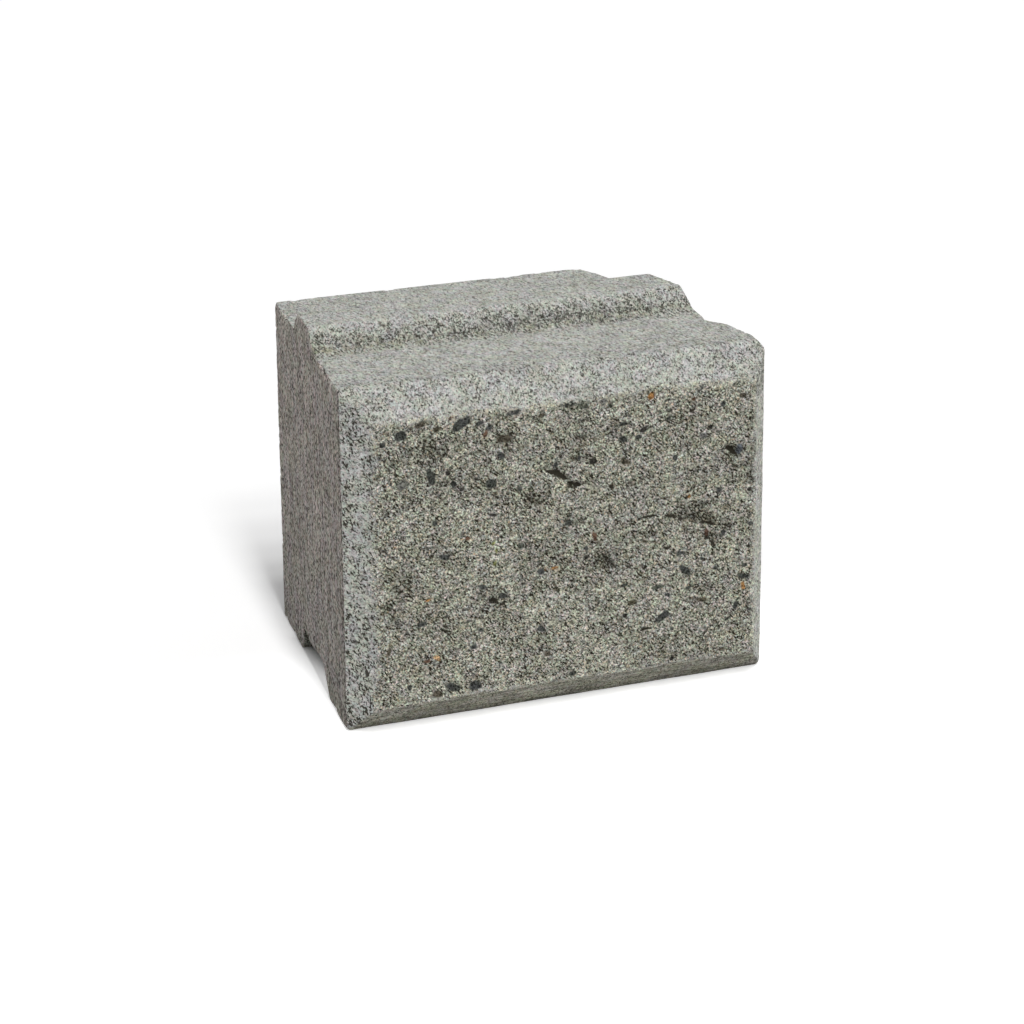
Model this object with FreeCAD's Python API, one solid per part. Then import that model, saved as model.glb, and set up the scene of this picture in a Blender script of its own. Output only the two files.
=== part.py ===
import FreeCAD, Part
import math
import os

# A split-face retaining wall block, cast as one piece of concrete.
# It stands on the floor at Z = 0 with its split face towards -Y.
# A tongue along the top keys into the groove in the underside of the block above.
# Lengths are in millimetres and angles in degrees.

# Overall sizes.
course_height = 200.0         # floor to the two flats that carry the next course
front_width = 260.0           # widest place, just behind the front bevel
block_depth = 214.0           # proudest point of the split face to the back face
side_taper = 8.5              # each side closes in by this angle towards the back

# Moulded bevel that frames the split face.
bevel_depth = 19.5
side_bevel_width = 15.5
top_bevel_height = 19.5
bottom_bevel_height = 19.5

# Tongue along the top.
tongue_height = 12.5
tongue_base = 60.0            # front foot to rear foot
tongue_rear_setback = 63.0    # rear foot to the back face
tongue_front_slope = 39.5     # angle from level
tongue_rear_slope = 68.0      # angle from level, the steep face that holds the next course

# Groove in the underside, sized from the tongue.
groove_seat_gap = 1.0         # between the tongue's rear face and the groove's rear wall
groove_crown_gap = 4.0        # between the tongue's crest and the groove's roof
groove_slack = 22.0           # room in front of the tongue for setting out a curve

# Rounded edges, as the mould leaves them.
crest_round = 4.0             # both edges of the tongue's crest
cove_round = 20.0             # hollow where the front flat runs up into the tongue
rear_foot_round = 3.0         # hollow behind the tongue
groove_round = 4.0            # edges and roof corners of the groove
flat_round = 7.0              # front flat into the top bevel
foot_round = 3.0              # front foot into the bottom bevel
corner_round = 3.0            # upright corners and the back's top and bottom edges

# Fracture surface of the split face.
split_relief = 4.0            # depth of its hills and hollows together
split_wave = 110.0            # length of the longest hill and hollow
split_grid = 12.0             # spacing of the points that the surface passes through
split_waves = [               # strength, crests across and crests up in one split_wave, phase
    (1.0, 1.0, 0.4, 0.6),
    (1.0, -0.5, 1.3, 2.2),
    (0.4, 2.1, 1.9, 1.0),
    (0.4, 2.1, -1.9, 0.3),
]

# Places along Y and Z, worked out from the sizes above.
front = -block_depth / 2
back = block_depth / 2
crest_level = course_height + tongue_height
tongue_rear = back - tongue_rear_setback
tongue_front = tongue_rear - tongue_base
groove_depth = tongue_height + groove_crown_gap
groove_rear = tongue_rear + groove_seat_gap
groove_front = tongue_front - groove_slack
bevel_back = front + bevel_depth

# The moulded shape runs on ahead of the fracture, which then trims it.
trim_spare = 2.0
trim_length = split_relief + trim_spare
trim_front = front - trim_length
trim_share = (bevel_depth + trim_length) / bevel_depth


def run_for(rise, slope):
    """Level distance in which a face of this slope climbs by rise."""
    return rise / math.tan(math.radians(slope))


def rounded_wire(corners, place):
    """Closed wire through (u, v, radius) corners, each turned into a tangent arc of its radius."""
    points = [FreeCAD.Vector(u, v, 0) for u, v, radius in corners]
    radii = [radius for u, v, radius in corners]
    count = len(corners)
    arcs = []
    for i in range(count):
        corner = points[i]
        to_last = (points[i - 1] - corner).normalize()
        to_next = (points[(i + 1) % count] - corner).normalize()
        half_angle = to_last.getAngle(to_next) / 2
        reach = radii[i] / math.tan(half_angle)
        inward = (to_last + to_next).normalize()
        middle = corner + inward * (radii[i] / math.sin(half_angle) - radii[i])
        arcs.append((corner + to_last * reach, middle, corner + to_next * reach))
    edges = []
    for i in range(count):
        start, middle, end = [place(p) for p in arcs[i]]
        if radii[i] > 0:
            edges.append(Part.Arc(start, middle, end).toShape())
        next_start = place(arcs[(i + 1) % count][0])
        edges.append(Part.LineSegment(end, next_start).toShape())
    return Part.Wire(edges)


def side_section():
    """The block seen from its end: bevelled front, tongue on top and groove below."""
    crest_front = tongue_front + run_for(tongue_height, tongue_front_slope)
    crest_rear = tongue_rear - run_for(tongue_height, tongue_rear_slope)
    roof_front = groove_front + run_for(groove_depth, tongue_front_slope)
    roof_rear = groove_rear - run_for(groove_depth, tongue_rear_slope)
    corners = [
        (trim_front, bottom_bevel_height * trim_share, 0),
        (trim_front, course_height - top_bevel_height * trim_share, 0),
        (bevel_back, course_height, flat_round),
        (tongue_front, course_height, cove_round),
        (crest_front, crest_level, crest_round),
        (crest_rear, crest_level, crest_round),
        (tongue_rear, course_height, rear_foot_round),
        (back, course_height, corner_round),
        (back, 0, corner_round),
        (groove_rear, 0, groove_round),
        (roof_rear, groove_depth, groove_round),
        (roof_front, groove_depth, groove_round),
        (groove_front, 0, groove_round),
        (bevel_back, 0, foot_round),
    ]
    wire = rounded_wire(corners, lambda p: FreeCAD.Vector(-front_width, p.x, p.y))
    return Part.Face(wire).extrude(FreeCAD.Vector(2 * front_width, 0, 0))


def plan_outline():
    """The block seen from above: bevelled front corners and sides that taper to the back."""
    half_front = front_width / 2
    half_trim = half_front - side_bevel_width * trim_share
    half_back = half_front - (back - bevel_back) * math.tan(math.radians(side_taper))
    corners = [
        (-half_trim, trim_front, 0),
        (half_trim, trim_front, 0),
        (half_front, bevel_back, corner_round),
        (half_back, back, corner_round),
        (-half_back, back, corner_round),
        (-half_front, bevel_back, corner_round),
    ]
    wire = rounded_wire(corners, lambda p: FreeCAD.Vector(p.x, p.y, -course_height))
    return Part.Face(wire).extrude(FreeCAD.Vector(0, 0, 3 * course_height))


def split_depth(x, z):
    """Fracture depth before scaling: long waves that cross each other under a shorter patchwork."""
    turn = 2 * math.pi / split_wave
    return sum(strength * math.sin(turn * (across * x + up * z) + phase)
               for strength, across, up, phase in split_waves)


def split_cutter():
    """Everything in front of the fracture: a surface through a grid of points, pulled forward."""
    across = math.ceil(front_width / split_grid)
    upward = math.ceil(course_height / split_grid)
    xs = [(i / across - 0.5) * front_width for i in range(across + 1)]
    zs = [j / upward * course_height for j in range(upward + 1)]
    depths = [[split_depth(x, z) for z in zs] for x in xs]
    shallowest = min(min(row) for row in depths)
    deepest = max(max(row) for row in depths)
    scale = split_relief / (deepest - shallowest)
    points = []
    for x, row in zip(xs, depths):
        points.append([FreeCAD.Vector(x, front + (d - shallowest) * scale, z) for z, d in zip(zs, row)])
    surface = Part.BSplineSurface()
    surface.interpolate(points)
    return surface.toShape().extrude(FreeCAD.Vector(0, -2 * trim_length, 0))


def wall_block():
    """Section and plan meet in the moulded block, and the fracture takes off its front."""
    moulded = side_section().common(plan_outline())
    split = moulded.cut(split_cutter())
    return split.Solids[0]


os.makedirs("parts", exist_ok=True)
block = wall_block()
block.exportStep("parts/wall_block.step")
box = block.BoundBox
print("wall_block valid", block.isValid(), "litres", round(block.Volume / 1e6, 3))
print("X", round(box.XMin, 3), round(box.XMax, 3), "Y", round(box.YMin, 3), round(box.YMax, 3))
print("Z", round(box.ZMin, 3), round(box.ZMax, 3))
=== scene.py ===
import math
import bpy
import numpy as np
from mathutils import Matrix, Vector


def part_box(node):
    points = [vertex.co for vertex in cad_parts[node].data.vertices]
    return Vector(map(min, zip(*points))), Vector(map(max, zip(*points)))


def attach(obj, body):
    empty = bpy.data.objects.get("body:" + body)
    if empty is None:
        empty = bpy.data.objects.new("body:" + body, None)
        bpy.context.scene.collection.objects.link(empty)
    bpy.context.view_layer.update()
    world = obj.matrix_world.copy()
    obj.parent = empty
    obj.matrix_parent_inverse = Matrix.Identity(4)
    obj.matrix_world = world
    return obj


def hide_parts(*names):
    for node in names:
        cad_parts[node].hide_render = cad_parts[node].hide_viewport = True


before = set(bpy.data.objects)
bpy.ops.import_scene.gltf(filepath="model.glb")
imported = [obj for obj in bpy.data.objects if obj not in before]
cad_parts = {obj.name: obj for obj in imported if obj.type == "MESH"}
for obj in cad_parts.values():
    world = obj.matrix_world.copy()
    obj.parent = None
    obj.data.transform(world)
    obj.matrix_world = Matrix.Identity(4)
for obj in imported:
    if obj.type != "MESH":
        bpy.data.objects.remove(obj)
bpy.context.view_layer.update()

mm = 0.001    # shapes below are worked out in millimetres

# the block's moulded shape, as the CAD node has it
nodeLow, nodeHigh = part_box("wall_block")
block = {
    "front": nodeLow.y / mm, "back": nodeHigh.y / mm,    # proudest point of the split face, back face
    "courseHeight": 200.0, "crestHeight": nodeHigh.z / mm,
    "frontWidth": 260.0, "sideTaper": 8.5,               # degrees that each side closes in
    "bevelDepth": 19.5, "bevelHeight": 19.5, "bevelWidth": 15.5,
    "bevelSlant": 1.35,                                  # length of the bevel's slope over its depth
    "tongueBase": 60.0, "tongueRearSetback": 63.0,
    "frontSlope": 39.5, "rearSlope": 68.0,               # degrees from level, tongue and groove alike
    "grooveHeight": 16.5, "grooveSlack": 22.0, "grooveSeatGap": 1.0,
    "crestRound": 4.0, "crestRearRound": 14.0,          # the crest's rear edge is worn rounder
    "coveRound": 20.0, "rearFootRound": 3.0, "grooveRound": 4.0,
    "flatRound": 7.0, "footRound": 2.0, "cornerRound": 1.6,
    "splitStep": 0.85, "bevelStep": 1.1, "bodyStep": 1.25,   # spacing of the points before thinning
    "triangles": 194000,                                 # what the thinning leaves
}

# the fracture: long hills as in the CAD node, broken lumps, grit, and the cracks and hollows of this block
fracture = {
    "hillDepth": 3.2, "hillLength": 110.0,
    "hills": [(1.0, 1.0, 0.4, 0.6), (1.0, -0.5, 1.3, 2.2), (0.4, 2.1, 1.9, 1.0), (0.4, 2.1, -1.9, 0.3)],
    "lumpDepth": 1.1, "lumpSize": 20.0,
    "flakeDepth": 0.35, "flakeSize": 7.0,
    "gritDepth": 0.8, "gritSize": 2.4,
    "flakeWarp": 2.0, "warpSize": 6.0,    # bends the flakes' borders
    "rimLoss": 1.8, "rimReach": 5.0, "rimNoise": [(1.0, 9.0, 71), (0.4, 4.0, 72)],
    "setBack": 0.9, "meanDepth": 2.0,    # depth added everywhere, usual depth
    "sight": (-0.413, 0.362),    # x and z that the photo's line of sight gains per depth
    "crackWobble": 0.35, "wobbleSize": 2.5,
    "hollowNoise": [(0.5, 2.2, 61), (0.35, 6.0, 62)],    # strength, size and seed, as for the rim
    "hollowSquat": 1.25, "hollowShade": 0.7,    # width over height, darkest shade
    "cracks": [    # points (x, z, half width), depth, and how dark the painted shade inside the crack is
        ([(-13.8, 143.8, 0.9), (-10.2, 142.9, 1.5), (-7.1, 141.7, 1.9), (-4.7, 139.9, 1.7),
          (-2.6, 137.8, 0.9)], 2.6, 1.0),
        ([(-1, 135.9, 0.8), (0.8, 134.1, 1.3), (3.9, 133.7, 1.5), (6.3, 133.7, 0.9)], 2.2, 1.0),
        ([(8.2, 134.1, 0.5), (11.2, 133.5, 0.6), (13.7, 131.8, 0.4)], 0.8, 0.55),
        ([(42, 108.1, 0.7), (46.7, 108.4, 0.55), (51.7, 108.8, 0.8), (54.5, 107.9, 0.5)], 1.0, 0.95),
        ([(55.5, 105, 0.5), (58, 102.9, 0.5)], 0.6, 0.85), ([(36, 107.1, 0.5), (37.9, 108, 0.4)], 0.4, 0.6),
        ([(60, 107.2, 0.8), (63.2, 107.2, 0.9), (65.9, 106.1, 0.7)], 1.2, 0.95),
        ([(68.2, 104.4, 1.1), (69.5, 104.6, 1.1)], 1.2, 0.95),
        ([(71.2, 104.1, 1.6), (76.3, 103.4, 2.0), (80.8, 103.1, 1.6)], 1.2, 0.5),
        ([(81.4, 103.9, 0.6), (85.2, 103.4, 0.5)], 0.6, 0.85),
        ([(83, 100.7, 1.0), (85.3, 100.1, 0.7), (87, 99.6, 1.1), (88.5, 98.8, 0.7), (91.7, 98, 0.5),
          (94.2, 97.4, 0.4)], 1.4, 1.0),
        ([(84.7, 91.6, 0.7), (87.1, 90.7, 0.7)], 0.8, 0.95),
        ([(88, 88.7, 0.8), (90.8, 85.9, 0.8)], 1.0, 0.95),
        ([(89, 81.3, 0.7), (90, 80, 0.8)], 0.8, 0.95), ([(64.5, 79.5, 0.6), (66.4, 78.4, 0.7)], 0.6, 0.95),
        ([(58.1, 88.6, 0.6), (60, 87.7, 1.1), (62.2, 88.4, 0.7)], 0.8, 0.95),
        ([(55.3, 79.3, 0.5), (56.3, 78.3, 0.5)], 0.5, 0.85),
        ([(68.4, 165.5, 0.8), (70.3, 165.1, 0.8)], 0.8, 0.9),
        ([(72, 167.5, 0.5), (73, 167.9, 0.7), (75.4, 168.4, 0.9), (77.1, 169.1, 1.0), (79.2, 169.5, 0.4)],
         1.4, 0.95),
        ([(98, 143.6, 1.4), (100.3, 142.4, 1.6), (101.6, 140.3, 1.3), (104.3, 138.1, 0.8)], 2.0, 1.0),
        ([(-47.5, 72.6, 1.7), (-45.4, 70.8, 1.6)], 1.8, 0.95),
        ([(-42.3, 69.1, 1.0), (-40.2, 70, 0.9)], 1.0, 0.95),
        ([(-53.5, 75.4, 0.9), (-52.5, 75, 0.9)], 0.6, 0.7),
        ([(-27, 131, 0.7), (-22, 128, 1.0), (-18, 125.5, 1.3), (-14, 127.5, 0.8)], 1.2, 0.7),
        ([(20, 90, 0.7), (24, 85, 1.1), (28, 81, 0.7)], 1.4, 0.7),
        ([(44.5, 40.5, 0.7), (47, 41.3, 0.9), (50.5, 41, 0.6)], 1.2, 0.95),
        ([(21, 41.3, 0.5), (24, 42, 0.6), (28, 43, 0.4)], 0.8, 0.85),
        ([(-117, 114, 0.6), (-110, 108.5, 0.8), (-104, 103.5, 0.6)], 1.0, 0.6),
        ([(-79, 60, 0.6), (-75.5, 57.5, 1.0), (-73, 56, 0.5)], 1.0, 0.85),
        ([(-47, 134.5, 0.4), (-43, 131.5, 0.5)], 0.6, 0.85), ([(-65, 130, 0.4), (-60, 131, 0.5)], 0.6, 0.75),
        ([(-62, 158, 0.4), (-58.5, 160.3, 0.5), (-55, 157.5, 0.4)], 0.6, 0.75),
        ([(-11, 79, 0.5), (-9, 75, 0.9), (-7, 71, 0.5)], 0.8, 0.6),
        ([(34, 129, 0.4), (42, 129, 0.5)], 0.6, 0.65),
        ([(-62, 33, 0.5), (-60, 29, 0.8), (-58, 26, 0.4)], 0.8, 0.5),
        ([(-37, 38, 0.5), (-35, 31, 0.5)], 0.7, 0.6),
        ([(84, 32.5, 0.5), (87, 35.5, 0.5)], 0.7, 0.75), ([(8, 174.5, 0.5), (14, 174, 0.5)], 0.7, 0.75),
        ([(15, 162, 0.5), (18.5, 162.7, 0.6)], 0.7, 0.85), ([(5, 169.8, 0.5), (9, 170.8, 0.6)], 0.8, 0.85),
    ],
    "hollows": [   # centre (x, z), radius, depth, strength of the painted shade
        ((22, 86), 8.0, 1.6, 0.45), ((-20, 127), 9.0, 0.9, 0.40), ((-102, 92), 11.0, 1.2, 0.45),
        ((-109, 75), 9.0, 0.9, 0.35), ((76, 104), 13.0, 0.9, 0.40), ((-48, 73), 9.0, 1.2, 0.40),
        ((26, 163), 7.0, 0.8, 0.40), ((114, 124), 7.0, 0.8, 0.50), ((76, 132), 6.0, 0.6, 0.35),
        ((-84, 166), 14.0, 0.8, 0.30), ((102, 141), 8.0, 1.0, 0.40), ((-39, 161), 9.0, 0.6, 0.35),
        ((-88, 36), 6.0, 0.8, 0.45), ((-40, 60), 9.0, 0.4, 0.30), ((3, 113), 7.0, 0.5, 0.35),
        ((-100, 164), 13.0, 0.7, 0.25), ((90, 92), 10.0, 0.6, 0.30), ((6, 160), 15.0, 0.6, 0.25),
        ((-66, 142), 10.0, 0.5, 0.20), ((-3, 88), 8.0, 0.4, 0.25), ((110, 132), 9.0, 0.5, 0.30),
        ((69, 107.5), 6.5, 0.2, 0.50), ((77.5, 105), 6.5, 0.2, 0.62),
    ],
}

# larger stones that show in the split face, kind by kind: colour, then middle (x, z), length, width and tilt
stones = {
    "slate": ((0.062, 0.066, 0.061), [
        (-100.5, 175.5, 6.5, 5.8, 0), (-65, 177.7, 11, 5.4, 25), (-83.3, 149.7, 9, 4.6, 105),
        (-47.7, 141.3, 6.2, 5.4, 0), (-72, 23.7, 9, 4.8, 160), (-58.5, 22.8, 7, 5.4, 0),
        (-1, 181.6, 8.5, 3.8, 0), (-33.7, 180.5, 8.5, 2.8, 10), (-48.3, 173.5, 4.4, 2.8, 20),
        (-54, 177, 6, 2.6, 0), (-41.4, 157, 4.6, 3.4, 130), (-70, 143.3, 5, 2.6, 105),
        (42, 157, 4.6, 2.4, 5), (32.8, 156.6, 5, 3.2, 150), (32.6, 165.8, 3.8, 2.4, 10),
        (6, 149.3, 3.6, 3, 140), (61, 165.3, 2.8, 2.4, 30), (81, 181, 4.8, 2.2, 45),
        (95, 170, 4.2, 3.2, 60), (93.4, 118.8, 3.6, 2.6, 0), (65, 141.6, 3.2, 3, 0),
        (72, 73.3, 9.4, 3.6, 145), (57.3, 46.7, 9.4, 4.6, 35), (109.7, 64, 8, 2.8, 165),
        (104.3, 46.7, 4.4, 3.2, 70), (64, 38.5, 3, 2.2, 40), (69.4, 83.8, 4.8, 3, 0),
        (49.4, 17.7, 3.6, 2.2, 165), (33.4, 69.4, 5, 1.8, 0), (-41, 74, 5.2, 3.2, 165),
        (-54, 81, 7.2, 2.8, 170), (-76.2, 102, 8, 3.2, 0), (-17.7, 50.7, 4.6, 3.6, 150),
        (-90, 64, 5.6, 2.8, 15), (-55, 55.3, 4.2, 2.8, 0), (1, 20.5, 4.6, 3, 0), (-98, 27.2, 2.6, 3.4, 0),
        (-8.5, 147.2, 3.2, 2.4, 40), (-1, 112.2, 4.6, 2.8, 10), (-113.7, 164, 3.2, 2.8, 0),
        (-111, 171.4, 2.4, 2.2, 0), (-30.3, 136, 3.6, 2.6, 0), (113.3, 96, 4, 2.4, 10),
        (-58.5, 46, 4.6, 2, 0), (-18, 85, 3.8, 3, 0), (-74.5, 67, 3.2, 2.2, 0), (73.7, 62, 3.2, 2, 30),
        (114, 43, 3.6, 1.8, 0), (96.2, 92.7, 4.4, 3, 40), (82.6, 78.8, 2.8, 2.6, 0),
        (91.3, 71.5, 2.6, 2.2, 0), (110.5, 71, 5, 1.8, 10), (99.8, 39.4, 3.2, 1.6, 10),
        (61.3, 59.4, 3.6, 1.6, 165), (10, 95.2, 2.6, 2.4, 0), (-81, 122.4, 3, 2.6, 120),
    ]),
    "dark": ((0.036, 0.034, 0.030), [
        (-65.3, 140.3, 3.6, 3.2, 120), (45.3, 161, 5.2, 3, 20), (14.7, 146.2, 4.4, 3.4, 0),
        (60.7, 176.5, 4.4, 1.8, 0), (112.7, 116.6, 2.6, 2, 0), (86.8, 157.3, 2.4, 1.8, 0),
        (10.5, 89.8, 2.6, 1.8, 0), (33.8, 51, 2.6, 1.8, 0), (-56.2, 145, 3.2, 1.8, 0),
        (-47.4, 123, 4.2, 1.8, 170), (-73.4, 150.6, 2.4, 2.2, 0), (63.7, 20.2, 2.8, 2.2, 0),
    ]),
    "grey": ((0.150, 0.150, 0.136), [
        (-99.5, 147, 6.6, 5.4, 20), (82.2, 152.6, 4.6, 3, 0), (20.5, 180.7, 5, 2.2, 0),
        (-104.3, 67, 5, 3, 110),
    ]),
    "green": ((0.084, 0.092, 0.074), [
        (8.4, 179.3, 6.8, 3.4, 160), (102.8, 181, 4.4, 2.6, 10), (54.8, 65.3, 8.2, 3, 5),
        (-29.5, 102, 4.8, 3.2, 120), (24.7, 177.4, 3.2, 2.6, 0),
    ]),
    "brown": ((0.092, 0.082, 0.060), [
        (-79, 176.8, 5, 2.8, 0), (-109.8, 50.7, 5.4, 2.8, 65), (-81.8, 21.3, 7.2, 3.6, 160),
        (34, 143.5, 5.6, 3.4, 150), (-39, 166.2, 12, 4.2, 0), (-16.2, 176.8, 5, 2.2, 0),
        (-89, 180.2, 6.4, 3.2, 20), (107.6, 173.7, 3.6, 2.8, 0), (96, 20.7, 4.4, 2.6, 0),
        (38, 58.3, 6.4, 2.6, 0), (-13.8, 35.3, 4, 3, 0), (80.5, 54, 11, 2.2, 165),
    ]),
    "pale": ((0.400, 0.395, 0.330), [
        (-11, 53.4, 11, 3.6, 160), (12, 131.5, 9, 3, 165), (76.3, 135.5, 4.6, 3.6, 0),
    ]),
    "blue": ((0.150, 0.170, 0.185), [
        (105.4, 141.6, 5.4, 4.6, 60),
    ]),
    "moss": ((0.280, 0.290, 0.110), [
        (-46.5, 106, 3, 1.4, 70), (-44.5, 100.5, 3.6, 1.5, 110), (-46, 94, 3, 1.3, 60),
    ]),
    "rust": ((0.360, 0.185, 0.070), [
        (50, 180, 4.6, 3.4, 30), (109.3, 58, 4.8, 2.8, 100), (-105, 111.6, 2.6, 1.6, 0),
        (-86.3, 78, 3, 2, 0), (74.3, 117.6, 2.6, 1.6, 90), (-10, 86, 5, 1.4, 0),
    ]),
    "peach": ((0.500, 0.340, 0.190), [
        (-81.2, 43, 4.2, 2.2, 150),
    ]),
    "red": ((0.130, 0.078, 0.055), [
        (-70.3, 182, 3.4, 2.6, 0), (-50.8, 170.3, 4.4, 2.2, 60), (77, 175, 3, 2, 0),
        (-62, 111, 2.4, 1.6, 0), (-87.4, 41.7, 3.2, 2.2, 0), (15.3, 101.6, 6.6, 2, 100),
        (85.7, 93.5, 5, 2.6, 100), (-83.8, 72, 2.6, 1.5, 0),
    ]),
}
farStone, farCrack = 20.0, 4.0    # gaps that stand for no stone or crack nearby


# smooth random field: random numbers on a cubic lattice, blended with a quintic fade, from -1 to 1
def latticeNoise(points, size, seed):
    q = points / size
    cell = np.floor(q).astype(np.int64)
    f = q - cell
    w = f * f * f * (f * (f * 6 - 15) + 10)
    total = np.zeros(len(points))
    for corner in np.ndindex(2, 2, 2):
        share = np.prod(np.where(corner, w, 1 - w), axis=1)
        total += share * latticeValue(cell + corner, seed)
    return total


# one repeatable random number from -1 to 1 for each lattice corner
def latticeValue(cell, seed):
    h = cell[:, 0] * 374761393 + cell[:, 1] * 668265263 + cell[:, 2] * 1440662683 + seed * 974634631
    h &= 0xFFFFFFFF
    h = ((h ^ (h >> 13)) * 1274126177) & 0xFFFFFFFF
    h = ((h ^ (h >> 16)) * 2246822519) & 0xFFFFFFFF
    return ((h ^ (h >> 15)) & 0xFFFF) / 32767.5 - 1


# several noises added, each half the size and half the strength of the one before
def cloudNoise(points, size, octaves, seed):
    total = np.zeros(len(points))
    for i in range(octaves):
        total += latticeNoise(points, size / 2 ** i, seed + i) / 2 ** i
    return total / (2 - 2 ** (1 - octaves))


# noises added, each with its own strength, size and seed
def mixedNoise(points, layers):
    return sum(strength * latticeNoise(points, size, seed) for strength, size, seed in layers)


# 1 in a band around a middle, falling to 0 at its reach
def band(value, middle, reach):
    return np.clip(1 - np.abs(value - middle) / reach, 0, 1)


# 0 at the start, 1 at the end, straight between
def rise(value, start, end):
    return np.clip((value - start) / (end - start), 0, 1)


# broken cells: every point takes the random value of its nearest jittered centre
def flakeNoise(points, size, seed):
    q = points / size
    cell = np.floor(q).astype(np.int64)
    best = np.full(len(points), 9.0)
    value = np.zeros(len(points))
    for offset in np.ndindex(3, 3, 3):
        near = cell + np.array(offset) - 1
        jitter = [latticeValue(near, seed + i) for i in range(3)]
        centre = near + 0.5 + 0.45 * np.stack(jitter, axis=1)
        gap = np.sum((q - centre) ** 2, axis=1)
        closer = gap < best
        best[closer] = gap[closer]
        value[closer] = latticeValue(near, seed + 3)[closer]
    return value


# polyline through corners (u, v, radius): each corner is replaced by the points of its tangent arc
def roundedLine(corners, arcPoints=12):
    spots = np.array([c[:2] for c in corners], float)
    line = [spots[:1]]
    for i in range(1, len(corners) - 1):
        radius = corners[i][2]
        toLast = spots[i - 1] - spots[i]
        toNext = spots[i + 1] - spots[i]
        toLast /= np.linalg.norm(toLast)
        toNext /= np.linalg.norm(toNext)
        half = math.acos(np.clip(toLast @ toNext, -1, 1)) / 2
        inward = (toLast + toNext) / np.linalg.norm(toLast + toNext)
        centre = spots[i] + inward * radius / math.sin(half)
        start = spots[i] + toLast * radius / math.tan(half) - centre
        end = spots[i] + toNext * radius / math.tan(half) - centre
        sweep = math.atan2(start[0] * end[1] - start[1] * end[0], start @ end)
        turn = np.linspace(0, sweep, arcPoints)
        line.append(centre + np.outer(np.cos(turn), start) + np.outer(np.sin(turn), (-start[1], start[0])))
    line.append(spots[-1:])
    return np.concatenate(line)


# the same line with evenly spaced points, counted along its length
def evenPoints(line, count):
    run = np.concatenate([[0], np.cumsum(np.linalg.norm(np.diff(line, axis=0), axis=1))])
    want = np.linspace(0, run[-1], count)
    return np.stack([np.interp(want, run, line[:, i]) for i in range(2)], axis=1)


def runFor(rise, slope):
    return rise / math.tan(math.radians(slope))


# the three outlines of the block: top and bottom as (y, z) lines, half width as a (y, x) line
def blockOutlines(b):
    lead = 6.0     # the bevels run on ahead of the fracture
    stub = 0.01    # straight end behind the last corner
    share = (b["bevelDepth"] + lead) / b["bevelDepth"]
    high, crest = b["courseHeight"], b["crestHeight"]
    bevelBack = b["front"] + b["bevelDepth"]
    rear = b["back"] - b["tongueRearSetback"]
    foot = rear - b["tongueBase"]
    grooveRear = rear + b["grooveSeatGap"]
    grooveFront = foot - b["grooveSlack"]
    rise = crest - high
    top = roundedLine([
        (b["front"] - lead, high - b["bevelHeight"] * share, 0),
        (bevelBack, high, b["flatRound"]),
        (foot, high, b["coveRound"]),
        (foot + runFor(rise, b["frontSlope"]), crest, b["crestRound"]),
        (rear - runFor(rise, b["rearSlope"]), crest, b["crestRearRound"]),
        (rear, high, b["rearFootRound"]),
        (b["back"], high, b["cornerRound"]),
        (b["back"], high - b["cornerRound"] - stub, 0)])
    bottom = roundedLine([
        (b["front"] - lead, b["bevelHeight"] * share, 0),
        (bevelBack, 0, b["footRound"]),
        (grooveFront, 0, b["grooveRound"]),
        (grooveFront + runFor(b["grooveHeight"], b["frontSlope"]), b["grooveHeight"], b["grooveRound"]),
        (grooveRear - runFor(b["grooveHeight"], b["rearSlope"]), b["grooveHeight"], b["grooveRound"]),
        (grooveRear, 0, b["grooveRound"]),
        (b["back"], 0, b["cornerRound"]),
        (b["back"], b["cornerRound"] + stub, 0)])
    halfFront = b["frontWidth"] / 2
    halfBack = halfFront - (b["back"] - bevelBack) * math.tan(math.radians(b["sideTaper"]))
    plan = roundedLine([
        (b["front"] - lead, halfFront - b["bevelWidth"] * share, 0),
        (bevelBack, halfFront, b["cornerRound"]),
        (b["back"], halfBack, b["cornerRound"]),
        (b["back"], halfBack - b["cornerRound"] - stub, 0)])
    return top, bottom, plan, bevelBack


# long hills: sine waves across and up the face, scaled to lie between 0 and 1
def hillWaves(x, z, f):
    turn = 2 * math.pi / f["hillLength"]
    waves = sum(s * np.sin(turn * (across * x + up * z) + phase) for s, across, up, phase in f["hills"])
    most = sum(s for s, across, up, phase in f["hills"])
    return 0.5 + 0.5 * waves / most


# gap from each point to a line through (x, z, half width) points, counted in half widths
def crackGap(x, z, line):
    best = np.full(len(x), 99.0)
    for (x0, z0, w0), (x1, z1, w1) in zip(line, line[1:]):
        run = np.array([x1 - x0, z1 - z0], float)
        t = np.clip(((x - x0) * run[0] + (z - z0) * run[1]) / (run @ run), 0, 1)
        best = np.minimum(best, np.hypot(x - x0 - t * run[0], z - z0 - t * run[1]) / (w0 + t * (w1 - w0)))
    return best


# x and z of a point behind the front plane, carried along the photo's line of sight onto that plane
def asSeen(x, z, depth, f):
    return x + f["sight"][0] * depth, z + f["sight"][1] * depth
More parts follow.
